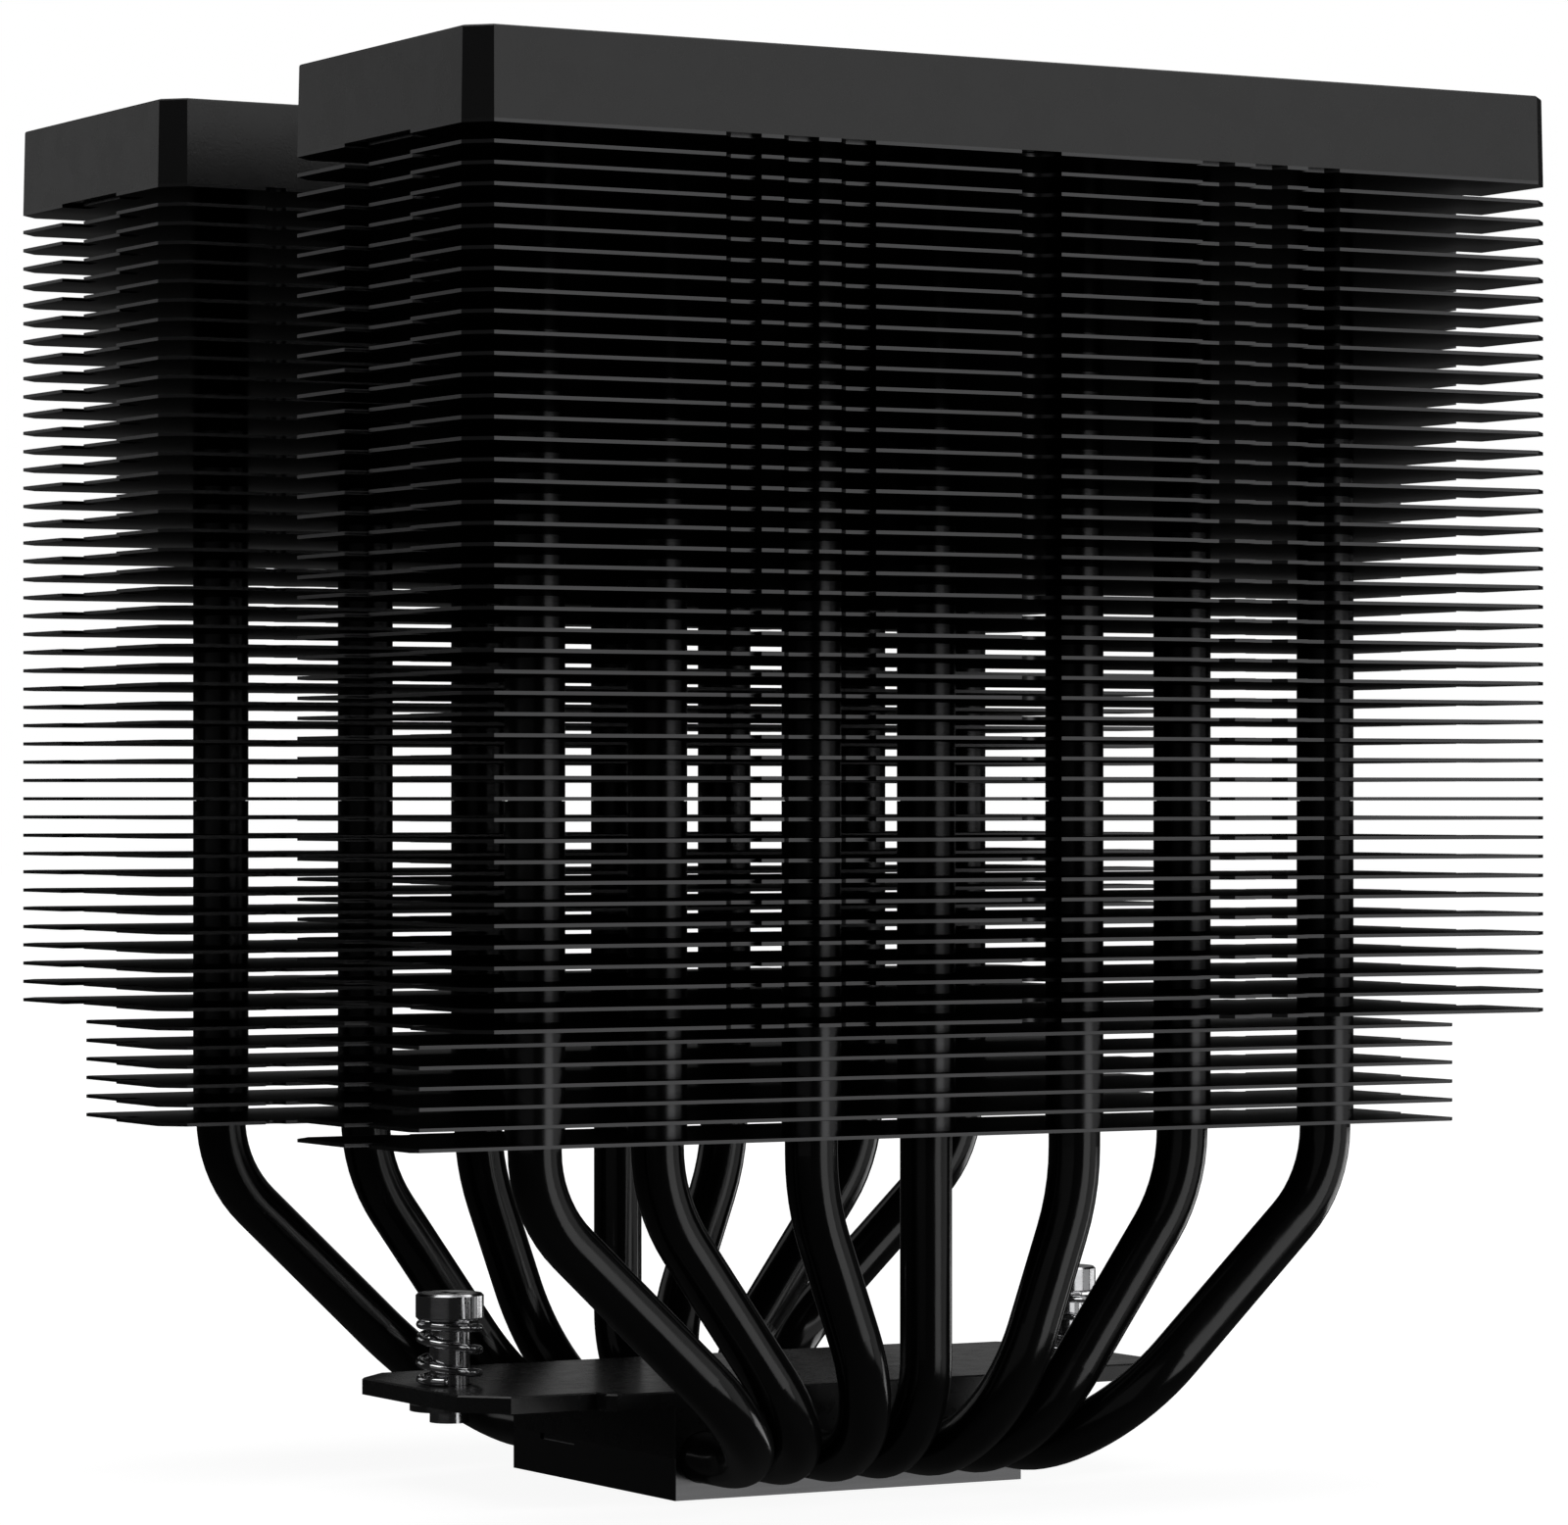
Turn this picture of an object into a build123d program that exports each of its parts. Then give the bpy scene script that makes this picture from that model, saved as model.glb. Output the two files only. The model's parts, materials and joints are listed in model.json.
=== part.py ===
from build123d import *
import os

# A twin-tower heatsink for a computer processor, in millimetres.
# The origin is the middle of the base's underside, where it meets the processor.
# X runs along the fins' long side, Y from the front tower to the rear tower, Z up.

# Heat pipes: seven U-shaped pipes, numbered from the left, with the middle one at X = 0
PIPE_DIAMETER = 6.0
PIPE_INDEXES = range(-3, 4)       # steps from the middle pipe
PIPE_SPACING = 17.55              # from pipe to pipe along X in the towers
PIPE_BASE_GAP = 0.6               # between neighbouring pipes in the base
ROW_OFFSET = 2.05                 # each of the two staggered rows from the tower's middle
PIPE_TIP_BELOW_ROOF = 1.5         # free height between a pipe's tip and the cover's roof
PIPE_TIP_ROUND = 2.2
ELBOW_RADIUS_OUTER_ROW = 16.0     # centre-line bend beside the base
ELBOW_RADIUS_INNER_ROW = 12.0
SHOULDER_HEIGHT = 35.8            # where a pipe's slanted run would meet its upright run
SHOULDER_RADII = {1: 30.0, 2: 20.0, 3: 15.0}   # by steps from the middle pipe

# Fins
FIN_WIDTH = 141.8
FIN_DEPTH = 46.3
FIN_THICKNESS = 0.4
FIN_PITCH = 2.25
FULL_FINS = 44                    # in one tower
SHORT_FINS = 6                    # at the foot of one tower
FIN_STACK_BOTTOM = 42.71
TOWER_GAP = 33.4                  # the fan bay between the towers
FIN_CHAMFER = 2.6
COLLAR_WALL = 0.32
COLLAR_GAP = 0.05                 # between a collar's top and the next fin
SOLDER_GAP = 0.05                 # around a pipe, in its collars, grooves and sleeves
COLLAR_TO_SLOT = 0.03
CLIP_SLOT_WIDTH = 2.8             # the four upright slots that fan clips hook into
CLIP_SLOT_DEPTH = 3.6
SIDE_RECESS = 1.63                # between the two slots of a side
POCKET_STARTS = (21.4, 28.6, 35.8)   # shallow pockets in the outer edge, from X = 0
POCKET_WIDTH = 4.4
POCKET_DEPTH = 1.3
CENTRE_NOTCH_RADIUS = 2.6
INNER_NOTCH_RADIUS = 1.3
INNER_NOTCH_FROM_SIDE = 14.0
SHORT_FIN_CHAMFER = 0.8

# Covers
COVER_HEIGHT = 10.0
COVER_WALL = 1.4
COVER_ROOF = 1.2
COVER_DRAFT = 1.15                # degrees
COVER_EDGE_ROUND = 0.3
SLEEVE_WALL = 0.9                 # sleeves inside the cover, which grip the pipes' tips
SLEEVE_TO_COLLAR = 0.4

# Base
BASE_DEPTH = 41.2
BASE_FLOOR = 1.9                  # metal under the pipes
BASE_SIDE_WALL = 0.7              # metal beside the outer pipes
BLOCK_ROOF = 2.8                  # metal over the pipes
BASE_EDGE_CHAMFER = 0.12
PRY_SLIT_LENGTH = 8.8
PRY_SLIT_HEIGHT = 0.7
PRY_SLIT_DEPTH = 0.25
PRY_SLIT_Y = 9.0

# Mounting bracket
BRACKET_WIDTH = 95.2
BRACKET_END_DEPTH = 34.4
BRACKET_MIDDLE_WIDTH = 64.0
BRACKET_THICKNESS = 2.0
BRACKET_CHAMFER = 4.6
BRACKET_STEP_ROUND = 1.0
BRACKET_EDGE_CHAMFER = 0.2

# Spring screws
SCREW_X = 42.3
SHANK_RADIUS = 2.35
SHANK_BELOW_BRACKET = 2.4
SCREW_HOLE_CLEARANCE = 0.25
HEAD_RADIUS = 4.0
HEAD_HEIGHT = 3.1
HEAD_LOWER_CHAMFER = 0.3
HEAD_UPPER_CHAMFER = 0.25
THREAD_CORE_RADIUS = 1.25         # tapped for an M3 stud
THREAD_DEPTH = 8.0
DRIVE_WIDTH = 0.9
DRIVE_LENGTH = 4.2
DRIVE_DEPTH = 1.4
SPRING_LENGTH = 7.6               # fitted, between the bracket and the head
SPRING_OUTER_RADIUS = 3.95
SPRING_WIRE = 1.0
SPRING_TURNS = 3.3
SPRING_SEAT_GAP = 0.05            # at each end

# Retaining rings, which keep the screws in the bracket
RING_RADIUS = 4.7
RING_THICKNESS = 0.7
RING_BELOW_BRACKET = 0.3
RING_GROOVE_DEPTH = 0.5
RING_RADIAL_CLEARANCE = 0.05
RING_SIDE_CLEARANCE = 0.05

# Derived sizes
PIPE_RADIUS = PIPE_DIAMETER / 2
PIPE_HOLE_RADIUS = PIPE_RADIUS + SOLDER_GAP
COLLAR_RADIUS = PIPE_HOLE_RADIUS + COLLAR_WALL
COLLAR_HEIGHT = FIN_PITCH - FIN_THICKNESS - COLLAR_GAP
BASE_PITCH = PIPE_DIAMETER + PIPE_BASE_GAP
BASE_WIDTH = 2 * (max(PIPE_INDEXES) * BASE_PITCH + PIPE_RADIUS + BASE_SIDE_WALL)
PIPE_FLOOR_Z = BASE_FLOOR + PIPE_RADIUS
BLOCK_TOP = PIPE_FLOOR_Z + PIPE_RADIUS + BLOCK_ROOF
BRACKET_TOP = BLOCK_TOP + BRACKET_THICKNESS
TOWER_Y = (TOWER_GAP + FIN_DEPTH) / 2
RECESS_HALF = ROW_OFFSET + COLLAR_RADIUS + COLLAR_TO_SLOT
FULL_STACK_BOTTOM = FIN_STACK_BOTTOM + SHORT_FINS * FIN_PITCH
COVER_BOTTOM = FULL_STACK_BOTTOM + (FULL_FINS - 1) * FIN_PITCH + FIN_THICKNESS
ROOF_UNDERSIDE = COVER_BOTTOM + COVER_HEIGHT - COVER_ROOF
PIPE_TIP_Z = ROOF_UNDERSIDE - PIPE_TIP_BELOW_ROOF
HEAD_BOTTOM = BRACKET_TOP + SPRING_LENGTH
SHANK_BOTTOM = BLOCK_TOP - SHANK_BELOW_BRACKET
RING_BOTTOM = BLOCK_TOP - RING_BELOW_BRACKET - RING_THICKNESS
RING_GROOVE_RADIUS = SHANK_RADIUS - RING_GROOVE_DEPTH
RING_BORE_RADIUS = RING_GROOVE_RADIUS + RING_RADIAL_CLEARANCE
OVERCUT = 1.0                     # how far a cutter reaches past the face it opens


def row_y(index):
    """Y of a pipe in the front tower, from the tower's middle: odd steps lie further out."""
    return -ROW_OFFSET if index % 2 else ROW_OFFSET


def tube(outer, inner, bottom, height):
    ring = Circle(outer) - Circle(inner)
    return Pos(0, 0, bottom) * extrude(ring, height)


def on_both_sides(shape):
    return [shape, mirror(shape, about=Plane.YZ)]


# Fins are drawn for the front tower, about the tower's middle, with the outer edge at -Y


def pipe_holes():
    hole = Circle(PIPE_HOLE_RADIUS)
    return [Pos(i * PIPE_SPACING, row_y(i)) * hole for i in PIPE_INDEXES]


def edge_pockets():
    edge = -FIN_DEPTH / 2
    cutters = []
    for start in POCKET_STARTS:
        end = start + POCKET_WIDTH
        outline = Polygon(
            (start, edge - OVERCUT),
            (start, edge + POCKET_DEPTH),
            (end - POCKET_DEPTH, edge + POCKET_DEPTH),
            (end + OVERCUT, edge - OVERCUT),
            align=None,
        )
        cutters += on_both_sides(outline)
    return cutters


def edge_notches():
    centre = Pos(0, -FIN_DEPTH / 2) * Circle(CENTRE_NOTCH_RADIUS)
    x = FIN_WIDTH / 2 - INNER_NOTCH_FROM_SIDE
    inner = Pos(x, FIN_DEPTH / 2) * Circle(INNER_NOTCH_RADIUS)
    return [centre] + on_both_sides(inner)


def side_cuts():
    side = FIN_WIDTH / 2
    slot = Rectangle(2 * CLIP_SLOT_DEPTH, CLIP_SLOT_WIDTH)
    slot_y = RECESS_HALF + CLIP_SLOT_WIDTH / 2
    cutter = Pos(side, 0) * Rectangle(2 * SIDE_RECESS, 2 * RECESS_HALF)
    cutter += [Pos(side, slot_y) * slot, Pos(side, -slot_y) * slot]
    return on_both_sides(cutter)


def chamfered_rectangle(width, depth, length):
    return chamfer(Rectangle(width, depth).vertices(), length)


def full_fin_outline():
    outline = chamfered_rectangle(FIN_WIDTH, FIN_DEPTH, FIN_CHAMFER)
    return outline - edge_pockets() - edge_notches() - side_cuts()


def short_fin_outline():
    outer_part = Pos(0, -RECESS_HALF - FIN_DEPTH / 2) * Rectangle(FIN_WIDTH, FIN_DEPTH)
    outline = full_fin_outline() - outer_part
    corners = outline.vertices().group_by(Axis.Y)[0]
    return chamfer(corners, SHORT_FIN_CHAMFER)


def fin(outline):
    plate = extrude(outline - pipe_holes(), FIN_THICKNESS)
    collar = tube(COLLAR_RADIUS, PIPE_HOLE_RADIUS, FIN_THICKNESS, COLLAR_HEIGHT)
    return plate + [Pos(i * PIPE_SPACING, row_y(i)) * collar for i in PIPE_INDEXES]


def in_tower(shape, tower):
    """Stand a front-tower shape in the front (-1) or rear (+1) tower."""
    turned = shape if tower < 0 else Rot(0, 0, 180) * shape
    return Pos(0, tower * TOWER_Y, 0) * turned


def fin_stack(one_fin, bottom, count, tower):
    placed = in_tower(one_fin, tower)
    return Compound([Pos(0, 0, bottom + n * FIN_PITCH) * placed for n in range(count)])


def cover():
    outline = chamfered_rectangle(FIN_WIDTH, FIN_DEPTH, FIN_CHAMFER)
    shell = extrude(outline, COVER_HEIGHT, taper=COVER_DRAFT)
    shell = fillet(shell.edges().group_by(Axis.Z)[-1], COVER_EDGE_ROUND)
    cavity = offset(outline, -COVER_WALL, kind=Kind.INTERSECTION)
    shell -= extrude(cavity, COVER_HEIGHT - COVER_ROOF, taper=COVER_DRAFT)
    sleeve_bottom = COLLAR_HEIGHT + SLEEVE_TO_COLLAR
    sleeve_height = COVER_HEIGHT - COVER_ROOF - sleeve_bottom
    sleeve = tube(PIPE_HOLE_RADIUS + SLEEVE_WALL, PIPE_HOLE_RADIUS, sleeve_bottom, sleeve_height)
    shell += [Pos(i * PIPE_SPACING, row_y(i)) * sleeve for i in PIPE_INDEXES]
    return Pos(0, 0, COVER_BOTTOM) * shell


def heat_pipe(index):
    """One U: down the front tower, slanting in to the base, under it and up the rear tower."""
    tower_x = index * PIPE_SPACING
    base_x = index * BASE_PITCH
    y = TOWER_Y - row_y(index)
    elbow = ELBOW_RADIUS_OUTER_ROW if index % 2 else ELBOW_RADIUS_INNER_ROW
    front = [(tower_x, -y, PIPE_TIP_Z), (base_x, -y, PIPE_FLOOR_Z)]
    radii = [elbow]
    if index:
        front.insert(1, (tower_x, -y, SHOULDER_HEIGHT))
        radii.insert(0, SHOULDER_RADII[abs(index)])
    rear = [(px, -py, pz) for px, py, pz in reversed(front)]
    path = FilletPolyline(*front, *rear, radius=radii + radii[::-1])
    pipe = sweep(Plane(path @ 0, z_dir=path % 0) * Circle(PIPE_RADIUS), path)
    tips = pipe.edges().group_by(Axis.Z)[-1]
    return fillet(tips, PIPE_TIP_ROUND)


def pipe_grooves():
    groove = Rot(90, 0, 0) * Cylinder(PIPE_HOLE_RADIUS, BASE_DEPTH + 2 * OVERCUT)
    return [Pos(i * BASE_PITCH, 0, PIPE_FLOOR_Z) * groove for i in PIPE_INDEXES]


def base_half(bottom, top):
    lift = Align.CENTER, Align.CENTER, Align.MIN
    return Pos(0, 0, bottom) * Box(BASE_WIDTH, BASE_DEPTH, top - bottom, align=lift)


def base_plate():
    plate = base_half(0, PIPE_FLOOR_Z)
    plate = chamfer(plate.edges().filter_by(Axis.Z), BASE_EDGE_CHAMFER)
    slit = Box(2 * PRY_SLIT_DEPTH, PRY_SLIT_LENGTH, 2 * PRY_SLIT_HEIGHT)
    slit = Pos(-BASE_WIDTH / 2, PRY_SLIT_Y, PIPE_FLOOR_Z) * slit
    return plate - pipe_grooves() - slit


def base_block():
    block = base_half(PIPE_FLOOR_Z, BLOCK_TOP)
    block = chamfer(block.edges().filter_by(Axis.Z), BASE_EDGE_CHAMFER)
    return block - pipe_grooves()


def mounting_bracket():
    ends = chamfered_rectangle(BRACKET_WIDTH, BRACKET_END_DEPTH, BRACKET_CHAMFER)
    middle = Rectangle(BRACKET_MIDDLE_WIDTH, BASE_DEPTH)
    middle = chamfer(middle.vertices(), BRACKET_STEP_ROUND)
    plate = extrude(ends + middle, BRACKET_THICKNESS)
    plate = chamfer(plate.edges().group_by(Axis.Z)[-1], BRACKET_EDGE_CHAMFER)
    hole = Cylinder(SHANK_RADIUS + SCREW_HOLE_CLEARANCE, 2 * BRACKET_THICKNESS + OVERCUT)
    plate -= [Pos(-SCREW_X, 0) * hole, Pos(SCREW_X, 0) * hole]
    return Pos(0, 0, BLOCK_TOP) * plate


def spring_screw():
    shank = tube(SHANK_RADIUS, THREAD_CORE_RADIUS, 0, THREAD_DEPTH)
    solid_length = HEAD_BOTTOM - SHANK_BOTTOM - THREAD_DEPTH
    shank += Pos(0, 0, THREAD_DEPTH) * extrude(Circle(SHANK_RADIUS), solid_length)
    groove_width = RING_THICKNESS + 2 * RING_SIDE_CLEARANCE
    groove_bottom = RING_BOTTOM - SHANK_BOTTOM - RING_SIDE_CLEARANCE
    shank -= tube(SHANK_RADIUS + OVERCUT, RING_GROOVE_RADIUS, groove_bottom, groove_width)
    head = extrude(Circle(HEAD_RADIUS), HEAD_HEIGHT)
    head = chamfer(head.edges().group_by(Axis.Z)[0], HEAD_LOWER_CHAMFER)
    head = chamfer(head.edges().group_by(Axis.Z)[-1], HEAD_UPPER_CHAMFER)
    drive = Rectangle(DRIVE_LENGTH, DRIVE_WIDTH) + Rectangle(DRIVE_WIDTH, DRIVE_LENGTH)
    head -= Pos(0, 0, HEAD_HEIGHT) * extrude(drive, -DRIVE_DEPTH)
    screw = shank + Pos(0, 0, HEAD_BOTTOM - SHANK_BOTTOM) * head
    return Pos(0, 0, SHANK_BOTTOM) * screw


def spring():
    wire = SPRING_WIRE / 2
    bottom = BRACKET_TOP + SPRING_SEAT_GAP
    rise = SPRING_LENGTH - 2 * SPRING_SEAT_GAP - SPRING_WIRE
    path = Helix(rise / SPRING_TURNS, rise, SPRING_OUTER_RADIUS - wire, lefthand=True)
    coil = sweep(Plane(path @ 0, z_dir=path % 0) * Circle(wire), path, is_frenet=True)
    return Pos(0, 0, bottom + wire) * coil


def retaining_ring():
    ring = Circle(RING_RADIUS) - Circle(RING_BORE_RADIUS)
    mouth = Pos(0, -RING_RADIUS) * Rectangle(2 * RING_BORE_RADIUS, 2 * RING_RADIUS)
    lobe_x = (RING_RADIUS + RING_BORE_RADIUS) / 2
    reliefs = on_both_sides(Pos(lobe_x, 0) * Circle((RING_RADIUS - RING_BORE_RADIUS) / 4))
    return Pos(0, 0, RING_BOTTOM) * extrude(ring - mouth - reliefs, RING_THICKNESS)


def nodes():
    """Every piece of the heatsink by name, each a solid or a group of separate solids."""
    full = fin(full_fin_outline())
    short = fin(short_fin_outline())
    pieces = {}
    for name, tower in (("front", -1), ("rear", 1)):
        pieces[name + "_fins"] = fin_stack(full, FULL_STACK_BOTTOM, FULL_FINS, tower)
        pieces[name + "_short_fins"] = fin_stack(short, FIN_STACK_BOTTOM, SHORT_FINS, tower)
        pieces[name + "_cover"] = in_tower(cover(), tower)
    for index in PIPE_INDEXES:
        pieces[f"heat_pipe_{index - min(PIPE_INDEXES) + 1}"] = heat_pipe(index)
    pieces["base_plate"] = base_plate()
    pieces["base_block"] = base_block()
    pieces["mounting_bracket"] = mounting_bracket()
    for name, side in (("left", -1), ("right", 1)):
        pieces[name + "_screw"] = Pos(side * SCREW_X, 0) * spring_screw()
        pieces[name + "_spring"] = Pos(side * SCREW_X, 0) * spring()
        pieces[name + "_retaining_ring"] = Pos(side * SCREW_X, 0) * retaining_ring()
    return pieces


os.makedirs("parts", exist_ok=True)
for node, piece in nodes().items():
    export_step(piece, f"parts/{node}.step")
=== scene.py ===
import json
import math

import bmesh
import bpy
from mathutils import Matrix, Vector


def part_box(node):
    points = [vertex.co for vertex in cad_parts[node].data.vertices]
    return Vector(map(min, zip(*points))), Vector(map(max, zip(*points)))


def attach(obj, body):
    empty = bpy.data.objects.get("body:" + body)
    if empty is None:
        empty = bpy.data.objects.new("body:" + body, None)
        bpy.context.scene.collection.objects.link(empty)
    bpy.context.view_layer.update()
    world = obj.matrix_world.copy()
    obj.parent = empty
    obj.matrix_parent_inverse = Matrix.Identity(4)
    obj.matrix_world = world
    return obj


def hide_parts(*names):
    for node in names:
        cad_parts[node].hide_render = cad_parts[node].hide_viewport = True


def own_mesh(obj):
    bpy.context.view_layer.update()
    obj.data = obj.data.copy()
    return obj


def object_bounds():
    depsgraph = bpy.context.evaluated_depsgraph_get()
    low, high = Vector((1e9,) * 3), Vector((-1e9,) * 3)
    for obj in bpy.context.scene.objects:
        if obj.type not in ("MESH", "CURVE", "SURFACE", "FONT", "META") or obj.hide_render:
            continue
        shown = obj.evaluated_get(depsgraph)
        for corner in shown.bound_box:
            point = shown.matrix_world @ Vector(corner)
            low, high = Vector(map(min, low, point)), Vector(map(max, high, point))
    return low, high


# A black twin-tower processor heatsink on a pale floor. Metres, +Z up, front tower at -Y.

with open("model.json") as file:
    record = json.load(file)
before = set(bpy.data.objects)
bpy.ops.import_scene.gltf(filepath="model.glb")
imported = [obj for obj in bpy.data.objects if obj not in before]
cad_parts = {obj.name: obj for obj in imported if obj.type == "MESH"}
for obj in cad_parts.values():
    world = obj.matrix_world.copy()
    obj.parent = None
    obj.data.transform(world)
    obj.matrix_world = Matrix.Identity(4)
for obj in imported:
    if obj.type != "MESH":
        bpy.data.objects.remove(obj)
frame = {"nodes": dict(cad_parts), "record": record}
cad_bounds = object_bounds()
nodes = frame["nodes"]
scene = bpy.context.scene

# Camera
CAMERA_PLACE = (-0.3627, -0.6457, 0.0812)
CAMERA_HEADING = math.radians(29.5)      # from +Y towards +X; the camera looks level
CAMERA_LENS = 141.3                      # on a sensor 36 mm wide
CAMERA_SHIFT = 0.0229                    # raises the view, with the camera still level


def make_camera():
    data = bpy.data.cameras.new("camera")
    data.sensor_width = 36.0
    data.lens = CAMERA_LENS
    data.shift_y = CAMERA_SHIFT
    data.clip_start = 0.01
    camera = bpy.data.objects.new("camera", data)
    camera.location = CAMERA_PLACE
    camera.rotation_euler = (math.radians(90), 0, -CAMERA_HEADING)
    scene.collection.objects.link(camera)
    scene.camera = camera


# Studio: softboxes given by the directions that they fill, as seen from the object

FLOOR_RADIUS = 6.0
FLOOR_GAP = 0.0001                # keeps the base's underside clear of the floor's face
FLOOR_GLOW_BETWEEN = (0.05, 0.9)  # metres from the object's middle, over which it turns white
LIGHT_DISTANCE = 1.6
STUDIO_LEVEL = 0.012              # what the object reflects beside and above
STUDIO_FLOOR_LEVEL = 0.03         # and straight down
STUDIO_TURNS_BETWEEN = (-0.2, -0.8)   # a direction's Z, from the first level to the second
FLOOR_GREY = 0.3
FLOOR_GLOW_NEAR = 0.93            # under the object, so that its shadow shows
FLOOR_GLOW_FAR = 1.0

# name, headings and elevations in degrees, radiance
LIGHTS = (
    ("softbox_front", (136, 170), (-16, 50), 1.0),
    ("softbox_front_right", (104, 136), (-16, 50), 0.35),
    ("strip_low_right", (66, 100), (-20, -6), 1.5),
    ("softbox_back_left", (-46, -14), (2.5, 50), 0.32),
    ("softbox_back_right", (14, 50), (5, 20), 0.17),
    ("softbox_back_low", (14, 50), (-12, 5), 0.12),
    ("softbox_front_left", (-150, -85), (-6, 40), 0.07),
    ("softbox_above", (-40, 40), (70, 110), 1.6),
)


def make_light(name, headings, elevations, radiance):
    """A softbox filling the headings (from +Y towards +X) and elevations given in degrees."""
    heading, elevation = (math.radians(sum(pair) / 2) for pair in (headings, elevations))
    spans = [math.radians(pair[1] - pair[0]) for pair in (headings, elevations)]
    data = bpy.data.lights.new(name, "AREA")
    data.shape = "RECTANGLE"
    data.size, data.size_y = (2 * LIGHT_DISTANCE * math.tan(span / 2) for span in spans)
    data.energy = radiance * data.size * data.size_y * math.pi
    low, high = cad_bounds
    middle = (Vector(low) + Vector(high)) / 2
    away = Vector((
        math.sin(heading) * math.cos(elevation),
        math.cos(heading) * math.cos(elevation),
        math.sin(elevation),
    ))
    light = bpy.data.objects.new(name, data)
    light.location = middle + away * LIGHT_DISTANCE
    light.rotation_euler = away.to_track_quat("Z", "Y").to_euler()
    scene.collection.objects.link(light)


def make_world():
    """White where the camera looks at it, and a dark studio to what the object reflects."""
    world = bpy.data.worlds.new("studio")
    world.use_nodes = True
    tree = world.node_tree
    tree.nodes.clear()
    output = tree.nodes.new("ShaderNodeOutputWorld")
    mix = tree.nodes.new("ShaderNodeMixShader")
    rays = tree.nodes.new("ShaderNodeLightPath")
    tree.links.new(rays.outputs["Is Camera Ray"], mix.inputs[0])
    seen, reflected = (tree.nodes.new("ShaderNodeBackground") for _ in range(2))
    tree.links.new(seen.outputs[0], mix.inputs[2])
    tree.links.new(reflected.outputs[0], mix.inputs[1])
    for background in (seen, reflected):
        background.inputs["Color"].default_value = (1, 1, 1, 1)
    seen.inputs["Strength"].default_value = 1.0
    place = tree.nodes.new("ShaderNodeTexCoord")
    split = tree.nodes.new("ShaderNodeSeparateXYZ")
    tree.links.new(place.outputs["Generated"], split.inputs["Vector"])
    level = tree.nodes.new("ShaderNodeMapRange")
    level.interpolation_type = "SMOOTHSTEP"
    level.inputs["From Min"].default_value = STUDIO_TURNS_BETWEEN[0]
    level.inputs["From Max"].default_value = STUDIO_TURNS_BETWEEN[1]
    level.inputs["To Min"].default_value = STUDIO_LEVEL
    level.inputs["To Max"].default_value = STUDIO_FLOOR_LEVEL
    tree.links.new(split.outputs["Z"], level.inputs["Value"])
    tree.links.new(level.outputs["Result"], reflected.inputs["Strength"])
    tree.links.new(mix.outputs[0], output.inputs["Surface"])
    scene.world = world


def floor_material():
    """Pale near the object, where its shadow falls, and plain white further out."""
    material = bpy.data.materials.new("floor")
    material.use_nodes = True
    tree = material.node_tree
    shader = tree.nodes["Principled BSDF"]
    shader.inputs["Base Color"].default_value = (FLOOR_GREY, FLOOR_GREY, FLOOR_GREY, 1)
    shader.inputs["Roughness"].default_value = 0.9
    shader.inputs["Specular IOR Level"].default_value = 0.0
    shader.inputs["Emission Color"].default_value = (1, 1, 1, 1)
    place = tree.nodes.new("ShaderNodeTexCoord").outputs["Object"]
    distance = tree.nodes.new("ShaderNodeVectorMath")
    distance.operation = "LENGTH"
    tree.links.new(place, distance.inputs[0])
    glow = tree.nodes.new("ShaderNodeMapRange")
    glow.interpolation_type = "SMOOTHSTEP"
    glow.inputs["From Min"].default_value = FLOOR_GLOW_BETWEEN[0]
    glow.inputs["From Max"].default_value = FLOOR_GLOW_BETWEEN[1]
    glow.inputs["To Min"].default_value = FLOOR_GLOW_NEAR
    glow.inputs["To Max"].default_value = FLOOR_GLOW_FAR
    tree.links.new(distance.outputs["Value"], glow.inputs["Value"])
    tree.links.new(glow.outputs["Result"], shader.inputs["Emission Strength"])
    return material


def make_floor():
    bm = bmesh.new()
    bmesh.ops.create_circle(bm, cap_ends=True, segments=96, radius=FLOOR_RADIUS)
    mesh = bpy.data.meshes.new("floor")
    bm.to_mesh(mesh)
    bm.free()
    floor = bpy.data.objects.new("floor", mesh)
    floor.location.z = cad_bounds[0][2] - FLOOR_GAP
    scene.collection.objects.link(floor)
    mesh.materials.append(floor_material())
    floor.visible_glossy = False
    floor.visible_diffuse = False
    floor.visible_shadow = False


# Materials


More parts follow.
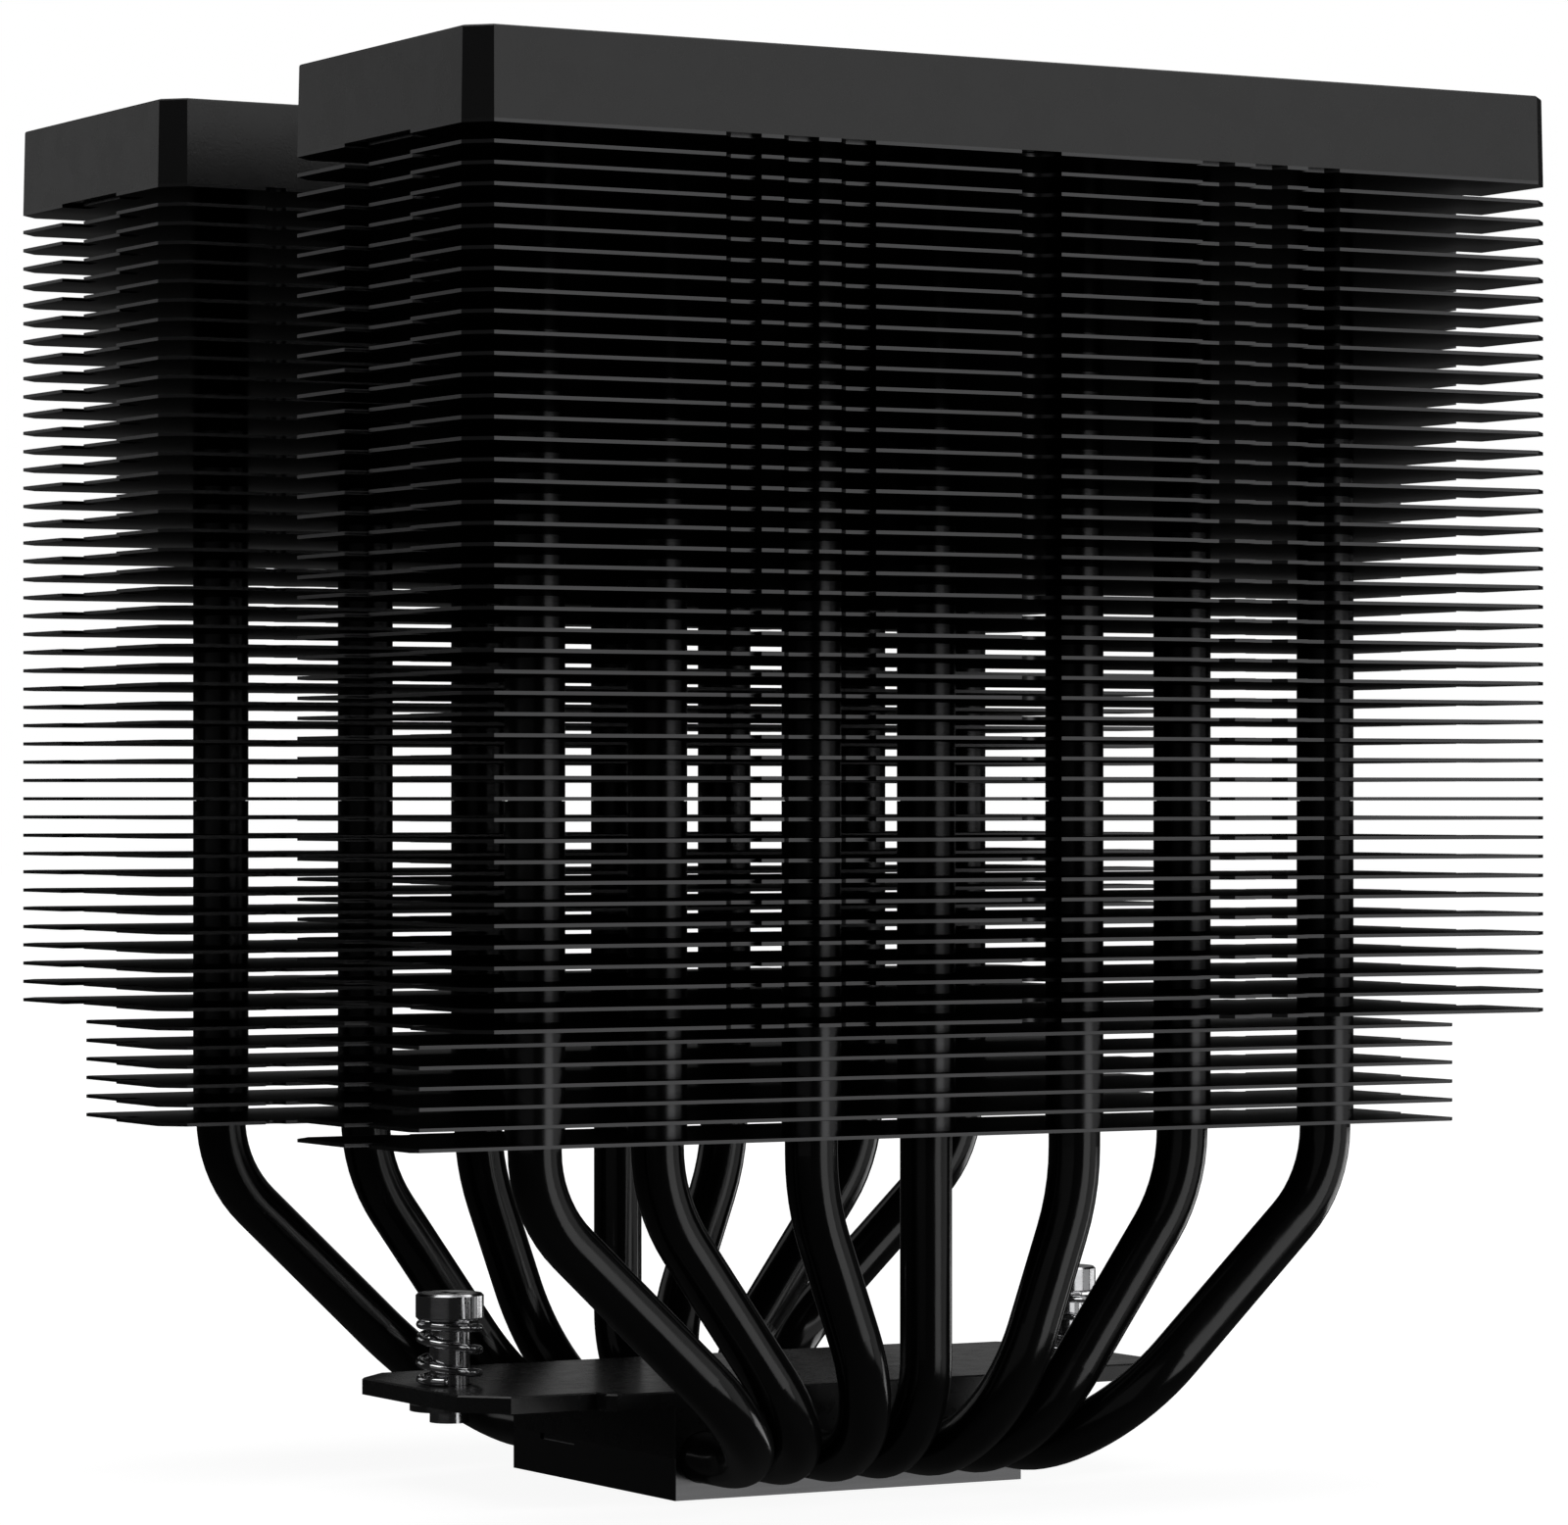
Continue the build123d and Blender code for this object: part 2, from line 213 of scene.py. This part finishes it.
class Surface:
    """A Principled material whose colour, roughness and relief come from procedural nodes."""

    def __init__(self, name, metallic=0.0):
        self.material = bpy.data.materials.new(name)
        self.material.use_nodes = True
        self.tree = self.material.node_tree
        self.shader = self.tree.nodes["Principled BSDF"]
        self.shader.inputs["Metallic"].default_value = metallic
        self.place = self.tree.nodes.new("ShaderNodeTexCoord").outputs["Object"]

    def link(self, source, target):
        self.tree.links.new(source, target)

    def noise(self, scale, stretch=(1, 1, 1), detail=3.0):
        """Noise over the object in metres; scale is in cells per metre."""
        mapping = self.tree.nodes.new("ShaderNodeMapping")
        mapping.inputs["Scale"].default_value = [scale * s for s in stretch]
        self.link(self.place, mapping.inputs["Vector"])
        noise = self.tree.nodes.new("ShaderNodeTexNoise")
        noise.inputs["Scale"].default_value = 1.0
        noise.inputs["Detail"].default_value = detail
        self.link(mapping.outputs["Vector"], noise.inputs["Vector"])
        return noise.outputs["Fac"]

    def ramp(self, factor, low, high, start=0.3, end=0.7):
        """Maps a factor from start..end to low..high."""
        node = self.tree.nodes.new("ShaderNodeMapRange")
        node.inputs["From Min"].default_value = start
        node.inputs["From Max"].default_value = end
        node.inputs["To Min"].default_value = low
        node.inputs["To Max"].default_value = high
        self.link(factor, node.inputs["Value"])
        return node.outputs["Result"]

    def colour(self, factor, dark, light):
        """Blends from the dark colour to the light one by a factor."""
        mix = self.tree.nodes.new("ShaderNodeMix")
        mix.data_type = "RGBA"
        mix.inputs["A"].default_value = (*dark, 1)
        mix.inputs["B"].default_value = (*light, 1)
        self.link(factor, mix.inputs["Factor"])
        self.link(mix.outputs["Result"], self.shader.inputs["Base Color"])

    def on_edges(self):
        """1 on upright faces, such as the cut edges of a flat sheet, and 0 on level ones."""
        geometry = self.tree.nodes.new("ShaderNodeNewGeometry")
        split = self.tree.nodes.new("ShaderNodeSeparateXYZ")
        self.link(geometry.outputs["True Normal"], split.inputs["Vector"])
        level = self.tree.nodes.new("ShaderNodeMath")
        level.operation = "ABSOLUTE"
        self.link(split.outputs["Z"], level.inputs[0])
        return self.ramp(level.outputs[0], low=1.0, high=0.0, start=0.2, end=0.8)

    def roughness(self, factor, low, high, start=0.3, end=0.7):
        self.link(self.ramp(factor, low, high, start, end), self.shader.inputs["Roughness"])

    def relief(self, height, depth):
        """Adds a bump of that depth in metres, on top of any bump before it."""
        bump = self.tree.nodes.new("ShaderNodeBump")
        bump.inputs["Distance"].default_value = depth
        self.link(height, bump.inputs["Height"])
        normal = self.shader.inputs["Normal"]
        if normal.is_linked:
            self.link(normal.links[0].from_socket, bump.inputs["Normal"])
        self.link(bump.outputs["Normal"], normal)


MICRON = 0.000001
BLUE_TINT = 1.02


def grey(value):
    return (value, value, value * BLUE_TINT)


def cover_plastic():
    """Moulded plastic with a fine spark-eroded grain."""
    s = Surface("cover_plastic")
    s.colour(s.noise(700, detail=4), grey(0.009), grey(0.011))
    s.roughness(s.noise(260, detail=5), 0.25, 0.29)
    s.relief(s.noise(4200, detail=2), 12 * MICRON)
    return s.material


def fin_coating():
    """Black coating on rolled aluminium sheet, with faint rolling lines along the fins, and a
    painted highlight on the upright cut edges.
    """
    s = Surface("fin_coating")
    edges = s.on_edges()
    # Upright faces, the fins' cut edges, get a lighter, shinier, metallic coating than the level
    # faces: a painted highlight along the edges.
    s.colour(edges, grey(0.006), grey(0.068))
    s.roughness(edges, 0.4, 0.26, start=0, end=1)
    s.link(edges, s.shader.inputs["Metallic"])
    s.link(s.ramp(edges, 0.14, 0.5, start=0, end=1), s.shader.inputs["Specular IOR Level"])
    s.relief(s.noise(2600, (0.04, 1, 1), detail=3), 6 * MICRON)
    return s.material


def pipe_plating():
    """Glossy black nickel over a drawn pipe, a little uneven."""
    s = Surface("pipe_plating")
    s.colour(s.noise(120, detail=4), grey(0.005), grey(0.009))
    s.roughness(s.noise(420, (1, 1, 0.2), detail=5), 0.12, 0.2)
    s.relief(s.noise(160, (1, 1, 0.4), detail=2), 60 * MICRON)
    s.relief(s.noise(3800, (1, 1, 0.05), detail=2), 2 * MICRON)
    return s.material


def base_plating():
    """Dark nickel, brushed along X."""
    s = Surface("base_plating", metallic=1.0)
    s.colour(s.noise(900, (0.05, 1, 1), detail=4), grey(0.12), grey(0.145))
    s.roughness(s.noise(1500, (0.04, 1, 1), detail=4), 0.18, 0.26)
    s.relief(s.noise(5200, (0.02, 1, 1), detail=2), 3 * MICRON)
    return s.material


def block_coating():
    """Black coating on the base's upper half."""
    s = Surface("block_coating")
    s.colour(s.noise(200, detail=4), grey(0.012), grey(0.018))
    s.roughness(s.noise(500, detail=4), 0.24, 0.34)
    s.relief(s.noise(3600, detail=3), 8 * MICRON)
    return s.material


def bracket_coating():
    """Black powder coat on the steel crossbar."""
    s = Surface("bracket_coating")
    s.colour(s.noise(240, detail=4), grey(0.018), grey(0.026))
    s.roughness(s.noise(420, detail=4), 0.22, 0.3)
    s.relief(s.noise(2800, detail=3), 4 * MICRON)
    return s.material


def dark_chrome(name, tone, turned, roughness=(0.10, 0.2)):
    """Black nickel on steel; turned gives fine lines round the part's upright axis."""
    s = Surface(name, metallic=1.0)
    s.colour(s.noise(800, detail=4), grey(tone * 0.85), grey(tone * 1.1))
    stretch = (0.2, 0.2, 3) if turned else (1, 1, 1)
    s.roughness(s.noise(1600, stretch, detail=4), *roughness)
    s.relief(s.noise(5000, stretch, detail=2), 1.5 * MICRON)
    return s.material


SLOT_MATERIALS = {
    "cover_plastic": cover_plastic,
    "fin_coating": fin_coating,
    "pipe_plating": pipe_plating,
    "base_plating": base_plating,
    "block_coating": block_coating,
    "bracket_coating": bracket_coating,
    "screw_steel": lambda: dark_chrome("screw_steel", 0.66, True),
    "spring_steel": lambda: dark_chrome("spring_steel", 0.85, False, (0.05, 0.12)),
    "ring_steel": lambda: dark_chrome("ring_steel", 0.35, False),
}


def paint_nodes():
    made = {slot: make() for slot, make in SLOT_MATERIALS.items()}
    for part in frame["record"]["subparts"]:
        mesh = nodes[part["node"]].data
        mesh.materials.clear()
        mesh.materials.append(made[part["material_slot"]])
    return made


# Springs: wound wire with closed ends, one per screw

WIRE_RADIUS = 0.0005
SPRING_TURNS = 3.3
CLOSING_TURNS = 1.0               # over which the pitch grows from nothing at each end
TURN_STEPS = 48
WIRE_STEPS = 14
START_ANGLE = math.radians(240)   # where the wire starts on the bracket, from +X


def coil_rise():
    """Share of the rise at each step round the coil, slow at both closed ends."""
    steps = int(SPRING_TURNS * TURN_STEPS)
    shares = [0.0]
    for step in range(steps):
        turn = (step + 0.5) / TURN_STEPS
        slope = min(1.0, turn / CLOSING_TURNS, (SPRING_TURNS - turn) / CLOSING_TURNS)
        shares.append(shares[-1] + slope)
    return [share / shares[-1] for share in shares]


def wire_ring(bm, middle, out):
    """One ring of points round the wire; out points away from the coil's axis."""
    ring = []
    for turn in range(WIRE_STEPS):
        around = 2 * math.pi * turn / WIRE_STEPS
        offset = out * math.cos(around) + Vector((0, 0, math.sin(around)))
        ring.append(bm.verts.new(middle + offset * WIRE_RADIUS))
    return ring


def wire_mesh(name, low, high):
    """A left-handed coil that fills the box from low to high."""
    centre = (low + high) / 2
    coil_radius = (high.x - low.x) / 2 - WIRE_RADIUS
    rise = high.z - low.z - 2 * WIRE_RADIUS
    bm = bmesh.new()
    rings = []
    for step, share in enumerate(coil_rise()):
        angle = START_ANGLE - 2 * math.pi * step / TURN_STEPS
        out = Vector((math.cos(angle), math.sin(angle), 0))
        axis_point = Vector((centre.x, centre.y, low.z + WIRE_RADIUS + rise * share))
        rings.append(wire_ring(bm, axis_point + out * coil_radius, out))
    for ring, following in zip(rings, rings[1:]):
        for turn in range(WIRE_STEPS):
            after = (turn + 1) % WIRE_STEPS
            bm.faces.new((ring[turn], ring[after], following[after], following[turn]))
    bm.faces.new(rings[0])
    bm.faces.new(list(reversed(rings[-1])))
    bmesh.ops.recalc_face_normals(bm, faces=bm.faces)
    mesh = bpy.data.meshes.new(name)
    bm.to_mesh(mesh)
    bm.free()
    mesh.shade_smooth()
    return mesh


def make_spring(node, material):
    """A wire spring in place of the CAD node, riding with the heatsink."""
    low, high = (Vector(corner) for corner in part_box(node))
    mesh = wire_mesh(node + "_wire", low, high)
    mesh.materials.append(material)
    spring = bpy.data.objects.new(node + "_wire", mesh)
    scene.collection.objects.link(spring)
    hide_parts(node)
    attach(spring, "heatsink")
    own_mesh(spring)


make_camera()
make_world()
make_floor()
for light in LIGHTS:
    make_light(*light)
materials = paint_nodes()
for side in ("left", "right"):
    make_spring(side + "_spring", materials["spring_steel"])
scene.view_settings.view_transform = "Standard"
